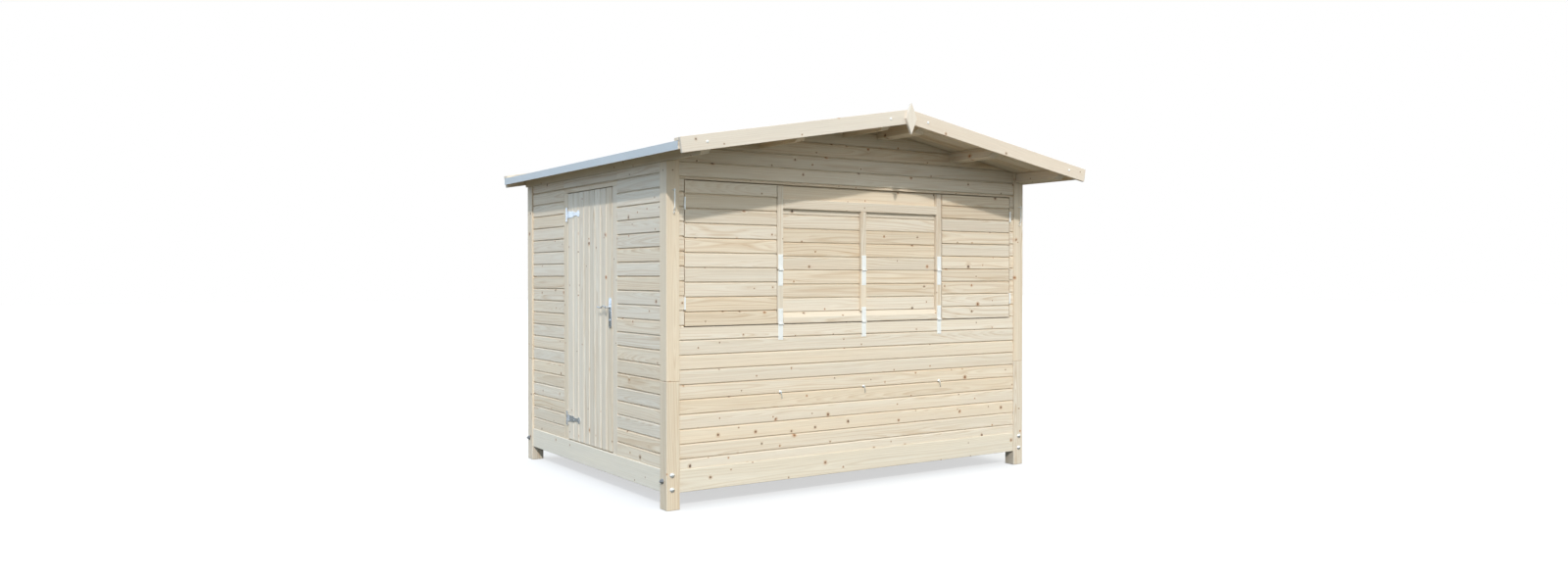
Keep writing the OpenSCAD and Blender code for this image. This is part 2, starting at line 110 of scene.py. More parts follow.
# %% Camera
scene = bpy.context.scene
corner = box("front_left_post")[0]
eye_left, eye_back, eye_height = 3.212, 6.155, 1.500
turn, dip = math.radians(33.75), math.radians(0.67)


def place_object(name, data):
    """Put an object with this data in the scene, at the origin."""
    made = bpy.data.objects.new(name, data)
    scene.collection.objects.link(made)
    return made


camera_data = bpy.data.cameras.new("camera")
camera_data.lens = 24.88
camera_data.sensor_width = 36
camera = place_object("camera", camera_data)
camera.location = (corner[0] - eye_left, corner[1] - eye_back, eye_height)
camera.rotation_euler = (math.pi / 2 - dip, 0, -turn)
scene.camera = camera
print("camera at", [round(v, 3) for v in camera.location])

# %% [markdown]
# ## Shader sums as plain Python
#
# A procedural finish is a long sum of noises and masks. Written as nodes, each plus and times
# costs a line. The class below wraps a socket, so that an expression such as `1 - mask` adds its
# own Math node. Every other node comes from `Network.node`, which takes the node's type, its
# settings and what goes into its sockets. A `Finish` is the network of one material.

# %% A wrapped socket, a network and a finish


class Value:
    """A number that varies over a surface. Each operator adds the Math node that does it."""

    def __init__(self, network, socket):
        self.network, self.socket = network, socket

    def math(self, operation, *others):
        inputs = dict(enumerate((self, *others)))
        return self.network.node("ShaderNodeMath", {"operation": operation}, inputs)

    def __add__(self, other):
        return self.math("ADD", other)

    def __sub__(self, other):
        return self.math("SUBTRACT", other)

    def __mul__(self, other):
        return self.math("MULTIPLY", other)

    def __truediv__(self, other):
        return self.math("DIVIDE", other)

    def __rsub__(self, other):
        return (self * -1.0) + other

    __radd__ = __add__
    __rmul__ = __mul__


class Network:
    """A tree of shader nodes. Its node method adds a node and returns the wrapped output."""

    def __init__(self, tree):
        self.tree = tree

    def node(self, kind, settings=None, inputs=None, output=0):
        made = self.tree.nodes.new(kind)
        for name, value in (settings or {}).items():
            setattr(made, name, value)
        for place, value in (inputs or {}).items():
            self.feed(made.inputs[place], value)
        return Value(self, made.outputs[output])

    def feed(self, socket, value):
        if isinstance(value, Value):
            self.tree.links.new(value.socket, socket)
        else:
            socket.default_value = value

    def other(self, value, output):
        """Another output of the node that gave a value."""
        return Value(self, value.socket.node.outputs[output])

    def place(self):
        """The point's own coordinates in metres."""
        return self.node("ShaderNodeTexCoord", None, None, "Object")

    def stretch(self, vector, scale):
        settings = {"operation": "MULTIPLY"}
        return self.node("ShaderNodeVectorMath", settings, {0: vector, 1: scale})

    def noise(self, vector, scale, detail=2.0, roughness=0.5):
        """Cloudy noise. A scale of three numbers stretches it along the axes."""
        if isinstance(scale, tuple):
            vector, scale = self.stretch(vector, scale), 1.0
        inputs = {"Vector": vector, "Scale": scale, "Detail": detail, "Roughness": roughness}
        return self.node("ShaderNodeTexNoise", None, inputs)

    def grit(self, vector, scale):
        """One random number for each cell of a cell pattern."""
        cells = self.node("ShaderNodeTexVoronoi", None, {"Vector": vector, "Scale": scale}, "Color")
        return self.node("ShaderNodeSeparateColor", None, {0: cells})

    def ease(self, value, low, high):
        """0 below low, 1 above high, and a smooth step between."""
        inputs = {"Value": value, "From Min": low, "From Max": high}
        return self.node("ShaderNodeMapRange", {"interpolation_type": "SMOOTHSTEP"}, inputs)

    def mix(self, factor, first, second, blend="MIX"):
        settings = {"data_type": "RGBA", "blend_type": blend}
        return self.node("ShaderNodeMix", settings, {0: factor, 6: first, 7: second}, output=2)

    def bump(self, height, distance, strength=1.0):
        inputs = {"Height": height, "Distance": distance, "Strength": strength}
        return self.node("ShaderNodeBump", None, inputs)


class Finish(Network):
    """One material, with the network that feeds its shader."""

    def __init__(self, name):
        self.material = bpy.data.materials.new(name)
        self.material.use_nodes = True
        super().__init__(self.material.node_tree)
        self.shader = self.tree.nodes["Principled BSDF"]

    def shine(self, **sockets):
        """Feed the shader: Base_Color becomes the socket Base Color, and so on."""
        for name, value in sockets.items():
            self.feed(self.shader.inputs[name.replace("_", " ")], value)
        return self.material


# %% [markdown]
# ## Sky and sun
#
# The sky gives soft light from all round, a little bluer from the hut's left than from its front,
# as a real sky is away from the sun. The camera sees plain white instead, like a studio wall. The
# sun is a distant lamp, and its small angle softens the gable's shadow edge.

# %% Sky
front_sky = (1.08, 1.15, 1.14, 1)
left_sky = (0.84, 1.10, 1.43, 1)
scene.view_settings.view_transform = "Standard"
scene.world = bpy.data.worlds.new("sky")
scene.world.use_nodes = True
sky = Network(scene.world.node_tree)
toward = sky.node("ShaderNodeTexCoord", None, None, "Generated")
sideways = sky.node("ShaderNodeSeparateXYZ", None, {0: toward}, "X")
leftness = sky.node("ShaderNodeMapRange", None,
                    {"Value": sideways, "From Min": 0.1, "From Max": -0.9})
glow = Value(sky, sky.tree.nodes["Background"].outputs[0])
sky.feed(glow.socket.node.inputs["Color"], sky.mix(leftness, front_sky, left_sky))
studio_wall = sky.node("ShaderNodeBackground", None, {"Color": (1, 1, 1, 1)})
watched = sky.node("ShaderNodeLightPath", None, None, "Is Camera Ray")
either = sky.node("ShaderNodeMixShader", None, {0: watched, 1: glow, 2: studio_wall})
sky.feed(sky.tree.nodes["World Output"].inputs["Surface"], either)
print("sky nodes:", len(sky.tree.nodes))

# %% Sun
ray = np.array([0.568, 1.0, -0.740])
sun_data = bpy.data.lights.new("sun", "SUN")
sun_data.energy = 2.05
sun_data.angle = math.radians(1.6)
sun = place_object("sun", sun_data)
sun.rotation_euler = (
    math.atan2(math.hypot(ray[0], ray[1]), -ray[2]), 0, math.atan2(-ray[0], ray[1]))
print("sun ray", ray.tolist())

# %% [markdown]
# The floor looks white to the camera and keeps a faint shadow. For light that bounces, it is a
# dull grey, as soil would be, so that the roof's underside stays dark.

# %% Floor
reach = 60.0
soil, paper = (0.108, 0.106, 0.086, 1), (0.90, 0.90, 0.90, 1)
whitened = 0.62
floor_data = bpy.data.meshes.new("floor")
floor_data.from_pydata(
    [(-reach, -reach, 0), (reach, -reach, 0), (reach, reach, 0), (-reach, reach, 0)],
    [], [(0, 1, 2, 3)])
floor = place_object("floor", floor_data)
ground = Finish("pale_floor")
watched = ground.node("ShaderNodeLightPath", None, None, "Is Camera Ray")
bounce = ground.mix(watched, soil, paper)
lit = ground.node("ShaderNodeEmission", None, {"Color": (1, 1, 1, 1), "Strength": 1.0})
matt = Value(ground, ground.shader.outputs[0])
blend = ground.node("ShaderNodeMixShader", None, {0: watched * whitened, 1: matt, 2: lit})
ground.feed(ground.tree.nodes["Material Output"].inputs["Surface"], blend)
ground.shine(Base_Color=bounce, Roughness=0.9, Specular_IOR_Level=0.0)
floor_data.materials.append(ground.material)
print("floor reaches", reach, "m")

# %% [markdown]
# ## Planed spruce
#
# Spruce is pale cream, with thin darker rings, fine fibres, sparse brown knots and boards that
# differ a little from each other. A flat pattern of planks would repeat, and a bump alone would
# look like plastic. Here the wood is a solid: the rings are cylinders around the tree's pith, and
# a board shows whatever its faces cut out of them. Each board carries two attributes. `grain` is
# its own coordinate system in metres: along the board, and across and through it, counted from
# the pith. `tint` holds three random numbers that shift its colour.

# %% Spruce


def spruce(name, light, dark, warm, knotty=1.0, figured=1.0):
    """Wood from the attributes grain and tint.

    Ring radius = length of (across, through) + a slow noise, so that rings wander along the
    board. Rings are a fine saw-tooth of the radius and a broad sine of it, both shifted by a
    noise called years, because no two years grow alike. A knot is a cell of a flat cell pattern
    whose random number is high, with a radius from its second random number. It fades towards
    the cell's border, so that no halo is cut off there.
    """
    wood = Finish(name)
    grain = wood.node("ShaderNodeAttribute", {"attribute_name": "grain"}, None, "Vector")
    tint = wood.node("ShaderNodeAttribute", {"attribute_name": "tint"}, None, "Vector")
    shade = wood.node("ShaderNodeSeparateXYZ", None, {0: tint})
    tone = wood.other(shade, 1)
    figure = wood.other(shade, 2)

    # knots: cells 0.15 m wide over the board's face
    knot_scale = 6.5
    girth = wood.node("ShaderNodeVectorMath", {"operation": "DOT_PRODUCT"},
                      {0: grain, 1: (0, 1, 1)}, "Value")
    along = wood.node("ShaderNodeSeparateXYZ", None, {0: grain})
    flat = wood.node("ShaderNodeCombineXYZ", None, {0: along, 1: girth})
    cells = wood.node("ShaderNodeTexVoronoi", {"voronoi_dimensions": "2D"},
                      {"Vector": flat, "Scale": knot_scale}, "Distance")
    border = wood.node("ShaderNodeTexVoronoi",
                       {"voronoi_dimensions": "2D", "feature": "DISTANCE_TO_EDGE"},
                       {"Vector": flat, "Scale": knot_scale}, "Distance")
    pick = wood.node("ShaderNodeSeparateColor", None, {0: wood.other(cells, "Color")})
    size = wood.other(pick, 1)
    kind = wood.other(pick, 2)
    ragged = wood.noise(grain, 90, 2)
    away = cells / knot_scale + (ragged - 0.5) * 0.0035
    there = wood.ease(pick, 0.62, 0.63) * wood.ease(border, 0.0, 0.09) * knotty
    radius = size * size * size * 0.0075 + 0.0040
    core = (1 - wood.ease(away / radius, 0.75, 1.05)) * there
    halo = (1 - wood.ease(away / radius, 0.9, 2.6)) * there
    swirl = (1 - wood.ease(away / radius, 0.8, 4.5)) * there

    # rings
    slow = wood.noise(grain, (0.9, 8, 8), 1.5)
    slower = wood.noise(grain, (0.45, 3.0, 3.0), 1.0)
    across = wood.node("ShaderNodeVectorMath", {"operation": "LENGTH"},
                       {0: wood.stretch(grain, (0, 1, 1))}, "Value")
    radial = across + (slow - 0.5) * 0.034 + (slower - 0.5) * 0.09 + swirl * 0.006
    fibre = wood.noise(grain, (5, 300, 300), 3, 0.65)
    streak = wood.noise(grain, (1.1, 90, 90), 2, 0.6)
    years = wood.noise(grain, (0.35, 38, 38), 2, 0.6)
    cloud = wood.noise(grain, (0.9, 6, 6), 2)
    phase = radial * 225 + years * 2.2 + (fibre - 0.5) * 0.25
    saw = phase.math("FRACT")
    fine = wood.ease(saw, 0.25, 0.90) * (1 - wood.ease(saw, 0.93, 1.0))
    fine = fine * wood.ease(years, 0.30, 0.62)
    wide = (radial * 480 + slow * 9 + years * 3.5).math("SINE") * 0.5 + 0.5
    broad = wide * wide * wide * wide

    streaks = wood.ease(streak, 0.52, 0.78) * 0.20
    ring_share = fine * 0.36 + broad * (figure * 0.42 + 0.08) + streaks
    base = wood.mix(ring_share * figured, (*light, 1), (*dark, 1))
    base = wood.mix(wood.ease(tone + (cloud - 0.5) * 0.7, 0.25, 1.05) * 0.75, base, (*warm, 1),
                    "MULTIPLY")
    bright = 0.965 + (shade - 0.5) * 0.10 + (fibre - 0.5) * 0.26 + (cloud - 0.5) * 0.12
    grey = wood.node("ShaderNodeCombineColor", None, {0: bright, 1: bright, 2: bright})
    base = wood.mix(1.0, base, grey, "MULTIPLY")
    stain = wood.mix(kind, (0.50, 0.31, 0.16, 1), (0.58, 0.29, 0.12, 1))
    base = wood.mix(halo * (kind * 0.30 + 0.45), base, stain)
    heart = wood.mix(kind, (0.085, 0.050, 0.032, 1), (0.31, 0.125, 0.048, 1))
    base = wood.mix(core * 0.92, base, heart)

    relief = fine * -0.45 + fibre * 0.5 - core * 0.6
    return wood.shine(Base_Color=base, Roughness=0.58 + fine * -0.07 + core * -0.12,
                      Normal=wood.bump(relief, 0.0005, 0.5))


planed = spruce("planed_spruce", (0.830, 0.730, 0.590), (0.60, 0.42, 0.25), (1.0, 0.93, 0.83))
fair = spruce("fair_spruce", (0.870, 0.785, 0.650), (0.64, 0.49, 0.32), (1.0, 0.95, 0.87),
              0.9, 0.62)
barge = spruce("barge_spruce", (0.820, 0.722, 0.600), (0.64, 0.47, 0.32), (1.0, 0.94, 0.88),
               0.9, 0.55)
print("wood finishes:", planed.name, fair.name, barge.name)
print("nodes in each:", len(planed.node_tree.nodes))

# %% [markdown]
# ## Metals, edging and felt
#
# The hinges and bolts are zinc plated: a bright grey metal with a spangle of crystals and a
# little dust in its roughness. The handle is smoother. The eave edging is coated sheet, and the
# roof is covered in mineral felt, which is all roughness and grit.

# %% Zinc, handle metal, coated sheet and felt


def plated(name, colour, rough, spangle, gloss=0.9):
    """Bright metal: cells of slightly different grey, and a cloudy roughness."""
    metal = Finish(name)
    place = metal.place()
    flake = metal.grit(place, 240.0)
    cloud = metal.noise(place, 34, 3)
    grime = metal.ease(metal.noise(place, 11, 4, 0.6), 0.45, 0.8)
    base = metal.mix(flake * spangle, (*colour, 1), (*[c * 0.8 for c in colour], 1))
    base = metal.mix(grime * 0.20, base, (0.45, 0.43, 0.40, 1))
    return metal.shine(Base_Color=base, Metallic=gloss - grime * 0.15,
                       Roughness=rough + (cloud - 0.5) * 0.18 + flake * 0.05,
                       Normal=metal.bump(cloud, 0.0004, 0.25))


def sheet(name):
    """Coated steel sheet: pale blue grey, faint long streaks and a satin coat."""
    coat = Finish(name)
    place = coat.place()
    streak = coat.noise(place, (40, 1.2, 40), 3)
    cloud = coat.noise(place, 3.0, 3)
    base = coat.mix(streak * 0.5, (0.56, 0.58, 0.585, 1), (0.51, 0.53, 0.54, 1))
    base = coat.mix(coat.ease(cloud, 0.5, 0.8) * 0.3, base, (0.68, 0.70, 0.72, 1))
    return coat.shine(Base_Color=base, Roughness=0.38 + cloud * 0.15, Metallic=0.15,
                      Normal=coat.bump(cloud + streak * 0.3, 0.001, 0.15))


def felt(name):
    """Mineral roofing felt: grains of several greys, stuck on in a rough layer."""
    roof = Finish(name)
    place = roof.place()
    grain = roof.grit(place, 620.0)
    cloud = roof.noise(place, 2.2, 4, 0.6)
    fine = roof.noise(place, 300, 2)
    base = roof.mix(grain, (0.085, 0.09, 0.098, 1), (0.24, 0.245, 0.25, 1))
    base = roof.mix(roof.ease(cloud, 0.4, 0.75) * 0.35, base, (0.20, 0.20, 0.19, 1))
    return roof.shine(Base_Color=base, Roughness=0.88 + fine * 0.1,
                      Normal=roof.bump(grain + fine, 0.0012, 0.7))


zinc = plated("zinc_plate", (0.98, 0.965, 0.92), 0.36, 0.12, 0.28)
bright = plated("bright_zinc", (0.93, 0.925, 0.89), 0.20, 0.08, 0.80)
satin = plated("satin_steel", (0.86, 0.87, 0.89), 0.24, 0.05, 0.85)
chrome = plated("satin_chrome", (0.80, 0.82, 0.86), 0.20, 0.03, 0.90)
dark = plated("dark_steel", (0.34, 0.35, 0.37), 0.35, 0.30, 0.85)
coated = sheet("coated_sheet")
mineral = felt("mineral_felt")
print("metals:", zinc.name, bright.name, satin.name, dark.name, coated.name, "roof:", mineral.name)

# %% [markdown]
# ## From numbers to pieces
#
# A bar is a section carried along a line. Its skin is a stack of rings, each ring a copy of the
# section, with walls between neighbours and a cap at each end. `loft` builds those faces for any
# rings. `piece` puts many such shells into one mesh, turns their faces outwards, and makes it
# ride on its body.

# %% Loft and piece helpers


def loft(rings):
    """Shell through rings of shape (rings, points, 3): walls between neighbours, and two caps.

    Point p of ring r has the number r * points + p. A wall joins p and p + 1 of ring r to the
    same two of ring r + 1.
    """
    rings = np.asarray(rings, float)
    count, points, _ = rings.shape
    number = np.arange(count * points).reshape(count, points)
    low, high = number[:-1], number[1:]
    after = np.roll(low, -1, axis=1), np.roll(high, -1, axis=1)
    walls = np.stack([low, after[0], after[1], high], axis=-1).reshape(-1, 4)
    caps = np.stack([number[0][::-1], number[-1]])
    return rings.reshape(-1, 3), walls, caps


def add_attribute(mesh, name, values):
    """Store one vector per mesh point."""
    attribute = mesh.attributes.new(name, "FLOAT_VECTOR", "POINT")
    attribute.data.foreach_set("vector", np.asarray(values, np.float32).ravel())


def mesh_points(mesh):
    """All points of a mesh, as rows of x, y and z."""
    points = np.empty(len(mesh.vertices) * 3)
    mesh.vertices.foreach_get("co", points)
    return points.reshape(-1, 3)


def bmesh_of(mesh, merge=False):
    """A bmesh of a mesh. A CAD mesh has loose triangles, so its doubled points are merged."""
    work = bmesh.new()
    work.from_mesh(mesh)
    if merge:
        bmesh.ops.remove_doubles(work, verts=work.verts, dist=1e-5)
    return work


def turn_outwards(work, mesh):
    """Turn a bmesh's faces outwards, write it to the mesh and free it."""
    bmesh.ops.recalc_face_normals(work, faces=work.faces)
    work.to_mesh(mesh)
    work.free()


def piece(name, shells, material, body, replaced=(), smooth=None):
    """Join shells, each (points, walls, caps) with grain and tint if it is wood, into one object.

    Every shell's faces count its points from 0, so they are raised by the points before it.
    """
    starts = np.cumsum([0] + [len(shell[0]) for shell in shells[:-1]])
    faces = []
    for start, shell in zip(starts, shells):
        faces += (shell[1] + start).tolist() + (shell[2] + start).tolist()
    mesh = bpy.data.meshes.new(name)
    mesh.from_pydata(np.concatenate([shell[0] for shell in shells]).tolist(), [], faces)
    if len(shells[0]) > 3:
        tints = [np.broadcast_to(shell[4], shell[0].shape) for shell in shells]
        add_attribute(mesh, "grain", np.concatenate([shell[3] for shell in shells]))
        add_attribute(mesh, "tint", np.concatenate(tints))
    turn_outwards(bmesh_of(mesh), mesh)
    return finish_piece(name, mesh, material, body, replaced, smooth)


def timber(name, shells, replaced=(), body="hut"):
    """A piece of planed spruce, which rides on the hut unless a body is named."""
    return piece(name, shells, planed, body, replaced)


def finish_piece(name, mesh, material, body, replaced=(), smooth=None):
    """Link a mesh as an object, give it its material and shading, hang it on its body and hide the
    CAD nodes it replaces.
    """
    mesh.materials.append(material)
    if smooth is not None:
        mesh.polygons.foreach_set("use_smooth", np.ones(len(mesh.polygons), bool))
        mesh.set_sharp_from_angle(angle=math.radians(smooth))
    made = place_object(name, mesh)
    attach(made, body)
    if replaced:
        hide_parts(*replaced)
    return made


def wood_numbers():
    """Random facts of one board: where it sits in its tree, and its three tint numbers."""
    shift = np.array([dice.uniform(0, 60), dice.uniform(-0.04, 0.04), dice.uniform(0.015, 0.09)])
    return shift, dice.uniform(0, 1, 3)


print("helpers ready")

# %% [markdown]
# ## A tongued board
#
# Each wall board has a tongue on one edge and a groove in the other, so that wind and light stay
# out, and a bevel along both edges of its face. The bevel of the lower board looks up and catches
# the sun, and the edge above it throws the thin shadow line. The section is written once as a few
# corners, and the boards of a panel differ only in width, length and grain.

# %% Board section and panels
tongue_long, groove_deep, open_joint, slimmest = 0.006, 0.007, 0.0032, 0.012


def board_section(width, thick, low, high, tongued, grooved, gap=seat, back=0.0025,
                  tongue=tongue_long):
    """Corners (across, depth) of a board, from its groove edge at 0 to its tongue edge at width.

    low and high are the (width, depth) of the face's bevels at those edges. The tongue is a
    fifth of the thickness, and stands 6 mm into the next board's groove. In front of it the
    joint stays open by 3 mm, where the shadow gathers.
    """
    a, b = gap, width - gap
    t0, t1 = thick * 0.42, thick * 0.62
    if tongued:
        f = b - (open_joint if high[0] > 0.002 else 0)
        section = [(a + low[0], 0), (f - high[0], 0), (f, high[1])]
        section += [(f, t0), (b + tongue, t0), (b + tongue, t1), (b, t1)]
    else:
        section = [(a + low[0], 0), (b - high[0], 0), (b, high[1])]
    section += [(b, thick - back), (b - back, thick), (a + back, thick), (a, thick - back)]
    if grooved:
        g = a + groove_deep
        section += [(a, t1 + gap), (g, t1 + gap), (g, t0 - gap), (a, t0 - gap)]
    section += [(a, low[1])]
    return np.array(section)


def split_at(section, kinks):
    """Add a corner where an edge of the section crosses a height at which its ends bend."""
    for kink in kinks:
        corners = []
        for first, second in zip(section, np.roll(section, -1, axis=0)):
            corners.append(first)
            if (first[0] - kink) * (second[0] - kink) < 0:
                share = (kink - first[0]) / (second[0] - first[0])
                corners.append(first + share * (second - first))
        section = np.array(corners)
    return section


def board(section, start, end, place):
    """One board: its section carried from start to end along the place's first axis.

    place is (origin, along, across, inward). Point = origin + a * along + c * across
    + d * inward. start and end are functions of c, or numbers.
    """
    origin, along, across, inward = (np.asarray(part, float) for part in place)
    c, d = section[:, 0], section[:, 1]
    ends = [np.broadcast_to(edge(c) if callable(edge) else edge, c.shape) for edge in (start, end)]
    local = np.stack([np.stack([a, c, d], -1) for a in ends])
    rings = origin + local @ np.stack([along, across, inward])
    shift, tint = wood_numbers()
    middle = np.array([0, c.mean(), 0])
    return *loft(rings), local.reshape(-1, 3) - middle + shift, tint


def joint_lines(joint, low, high, pitch=board_pitch):
    """Joint heights a pitch apart from low to high, one of which is joint."""
    steps = np.arange(math.ceil((low - joint) / pitch), math.floor((high - joint) / pitch) + 1)
    return [joint + pitch * step for step in steps]


def panel(joint, low, high, thick, place, start, end, pitch=board_pitch,
          bevels=((0.0035, 0.0035), (0.0080, 0.0098)), kinks=(), crown=0.0):
    """A stack of boards, trimmed to the panel's low and high edges.

    Its joints are a pitch apart, and one of them is at joint. No board is narrower than slimmest.
    crown is the length of a tongue on the last board, which otherwise has none.
    """
    plain = (0.0012, 0.0012)
    lines = joint_lines(joint, low, high, pitch)
    edges = [low] + [z for z in lines if low + slimmest < z < high - slimmest] + [high]
    shells = []
    for bottom, top in zip(edges[:-1], edges[1:]):
        first, last = bottom == low, top == high
        section = board_section(
            top - bottom, thick, plain if first else bevels[0], plain if last else bevels[1],
            not last or crown > 0, not first, tongue=crown if last else tongue_long)
        section = split_at(section + [bottom, 0], [k for k in kinks if bottom < k < top])
        shells.append(board(section, start, end, place))
    return shells


print("board helpers ready")

# %% [markdown]
# ## Front wall
#
# The boards below the hatch are counted down from a trimmed board under its sill, and the gable
# boards end under the two roof slopes. A board that meets the slope is cut at an angle, so its end
# is a function of the height, and a corner is added where that line bends.

# %% Front wall boards
X, Y, Z = np.eye(3)
lower, upper = box("front_wall")
wall_thick = upper[1] - lower[1]
under_hatch = 0.0825
front_place = ([0, lower[1], 0], X, Z, Y)
joint = upper[2] - under_hatch
shells = panel(joint, lower[2], upper[2], wall_thick, front_place, lower[0], upper[0])
timber("front_wall_boards", shells, ["front_wall"])
print("front wall:", len(shells), "boards")

strip_low, strip_high = box("front_wall_strips")
gable_low, gable_high = box("front_gable")
strip_w = 0.038
side_line = box("left_wall_front")[0][2]
shells = []
for x0 in (strip_low[0], strip_high[0] - strip_w):
    shells += panel(joint, strip_low[2], strip_high[2], wall_thick, front_place, x0, x0 + strip_w)
timber("front_strip_boards", shells, ["front_wall_strips"])

kink = float(roof_z(gable_high[0], under_deck))


def gable_end(side):
    """End of a gable board at a height: the post's edge, or the roof line where that is nearer."""
    return lambda z: side * np.minimum(gable_high[0], roof_x(z, under_deck))


over_hatch = 0.020
gable_top = float(roof_z(0, under_deck)) - 0.002
shells = panel(gable_low[2] + over_hatch, gable_low[2], gable_top, wall_thick, front_place,
               gable_end(-1), gable_end(1), kinks=[kink])
timber("front_gable_boards", shells, ["front_gable"])
print("gable:", len(shells), "boards, roof line meets the wall's edge at", round(kink, 3))

# %% [markdown]
# ## Side and back walls
#
# The side walls stop under the eave purlin. Their top board is trimmed level, just clear of the
# sloped cut, which the purlin hides. The boards of the left wall line up across the door.

# %% Side and back wall boards
for node in ("left_wall_front", "left_wall_rear", "left_wall_head", "right_wall"):
    lower, upper = box(node)
    left = node.startswith("left")
    place = ([lower[0], 0, 0], Y, Z, X) if left else ([upper[0], 0, 0], Y, Z, -X)
    top = upper[2] - wall_thick * math.tan(roof_pitch)
    shells = panel(side_line, lower[2], top, wall_thick, place, lower[1], upper[1])
    timber(node + "_boards", shells, [node])
    print(node, len(shells), "boards")

lower, upper = box("rear_wall")
shells = panel(side_line, lower[2], gable_top, wall_thick, ([0, upper[1], 0], X, Z, -Y),
               gable_end(-1), gable_end(1), kinks=[kink])
timber("rear_wall_boards", shells, ["rear_wall"])
print("rear wall:", len(shells), "boards")

# %% [markdown]
# ## Door leaf and shutters
#
# The door is ledged: eight upright boards with a V joint, held by two ledges across the inside.
# The shutters are built the same way, with level boards and upright ledges. The ledges lie on the
# inside, so they only show when a leaf is open.

# %% Door and shutter boards


def ledge(lower, upper, along):
    """A flat bar with 3 mm chamfers, with its grain along one axis (0, 1 or 2)."""
    lower, upper = np.asarray(lower, float), np.asarray(upper, float)
    others = [axis for axis in range(3) if axis != along]
    size = (upper - lower)[others]
    e, (w, h) = 0.003, size
    section = np.array([(e, 0), (w - e, 0), (w, e), (w, h - e),
                        (w - e, h), (e, h), (0, h - e), (0, e)])
    middle = size / 2
    small = middle + (section - middle) * (1 - 2 * e / size)
    length = upper[along] - lower[along]
    local = np.stack([
        np.column_stack([np.full(8, a), ring])
        for a, ring in ((0, small), (e, section), (length - e, section), (length, small))])
    axes = np.eye(3)[[along] + others]
    shift, tint = wood_numbers()
    return *loft(lower + local @ axes), local.reshape(-1, 3) - [0, *middle] + shift, tint


def ledges(leaf, axis, along):
    """Ledges on the inside of a leaf, read from the points on the CAD leaf's innermost plane.

    along is the axis they run along. The other axis in the leaf's plane tells them apart.
    """
    points = mesh_points(bpy.data.objects[leaf].data)
    inner = points[:, axis].max()
    back = points[np.abs(points[:, axis] - inner) < 0.0005]
    apart = ({0, 1, 2} - {axis, along}).pop()
    edges = np.unique(np.round(back[:, apart], 4))
    shells, spots = [], []
    for near, far in zip(edges[::2], edges[1::2]):
        inside = (back[:, apart] > near - 0.001) & (back[:, apart] < far + 0.001)
        first, last = back[inside].min(0), back[inside].max(0)
        first[axis] = inner - ledge_thick + seat
        shells.append(ledge(first, last, along))
        for share in screw_shares:
            spot = first + (last - first) * share
            spot[axis] = inner
            spot[apart] = near + (far - near) * (0.3 if len(spots) % 2 else 0.7)
            spots.append(spot)
    return shells, spots


leaf_thick, ledge_thick = 0.028, 0.020
screw_shares = np.linspace(0.06, 0.94, 8)
ledge_screws = {}
even_bevel = (0.0065, 0.0075)
lower, upper = box("door_leaf")
boards = 8
shells = panel(lower[1], lower[1], upper[1], leaf_thick, ([lower[0], 0, 0], Z, Y, X),
               lower[2], upper[2], (upper[1] - lower[1]) / boards, (even_bevel, even_bevel))
extra, ledge_screws["door"] = ledges("door_leaf", 0, 1)
shells += extra
timber("door_boards", shells, ["door_leaf"], "door")
print("door:", boards, "boards and", len(shells) - boards, "ledges")

first_board = 0.0935
for leaf in ("left_shutter", "right_shutter"):
    lower, upper = box(leaf)
    shells = panel(lower[2] + first_board, lower[2], upper[2], leaf_thick,
                   ([0, lower[1], 0], X, Z, Y), lower[0], upper[0])
    extra, ledge_screws[leaf] = ledges(leaf, 1, 2)
    shells += extra
    timber(leaf + "_boards", shells, [leaf], leaf)
    print(leaf, len(shells), "parts")

# %% [markdown]
# ## Folding counter
#
# The middle of the hatch is a frame of stiles and rails with boards set back behind it. The lower
# leaf becomes the counter and the upper one its brace. The bottom rail has a weathered top: a
# slope that sheds water and catches the light.

# %% Counter leaves
fold_line = box("counter_flap")[1][2] + 0.0025
stile, recess = 0.048, 0.025
low_rail, low_slope = 0.076, 0.036
high_rail, high_rail_down = 0.065, 0.092


def counter_leaf(node, rail):
    """Boards set back by 25 mm, three stiles in front of them, and the leaf's rail."""
    lower, upper = box(node)
    face, back = lower[1], upper[1]
    boards_at, rail_back = face + recess, face + recess - 0.0005
    shells = panel(fold_line, lower[2], upper[2], back - boards_at, ([0, boards_at, 0], X, Z, Y),
                   lower[0] + stile + 0.002, upper[0] - stile - 0.002,
                   crown=0.0042 if rail == "slope" else 0)
    for x in (lower[0], upper[0] - stile):
        shells.append(ledge([x, face, lower[2]], [x + stile, back, upper[2]], 2))
    left, right = lower[0] + stile + seat, upper[0] - stile - seat
    stile_from, stile_to = lower[2], upper[2]
    if rail == "slope":
        deep = rail_back - face
        section = np.array([(0.002, 0), (low_rail - low_slope, 0), (low_rail, deep), (0, deep),
                            (0, 0.002)])
        shells.append(board(section + [lower[2], 0], left, right, ([0, face, 0], X, Z, Y)))
        stile_from += low_rail - 0.004
    else:
        rail_top = upper[2] - high_rail_down
        rail_foot = rail_top - high_rail
        shells.append(ledge([left, face, rail_foot], [right, rail_back, rail_top], 0))
        stile_to = rail_foot - seat
    middle = (lower[0] + upper[0]) / 2
    shells.append(ledge([middle - stile / 2, face, stile_from],
                        [middle + stile / 2, rail_back, stile_to], 2))
    timber(node + "_timber", shells, [node], node)
    print(node, len(shells), "parts")


counter_leaf("counter_flap", "slope")
counter_leaf("counter_brace", "level")

# %% [markdown]
# ## Closing stops
#
# Every leaf closes against a batten on the inside, so that no light or rain comes through the gap
# around it. The hatch has one above and one below, cut with a rebate that reaches round the wall's
# edge to the counter's back. The door has four plain ones.

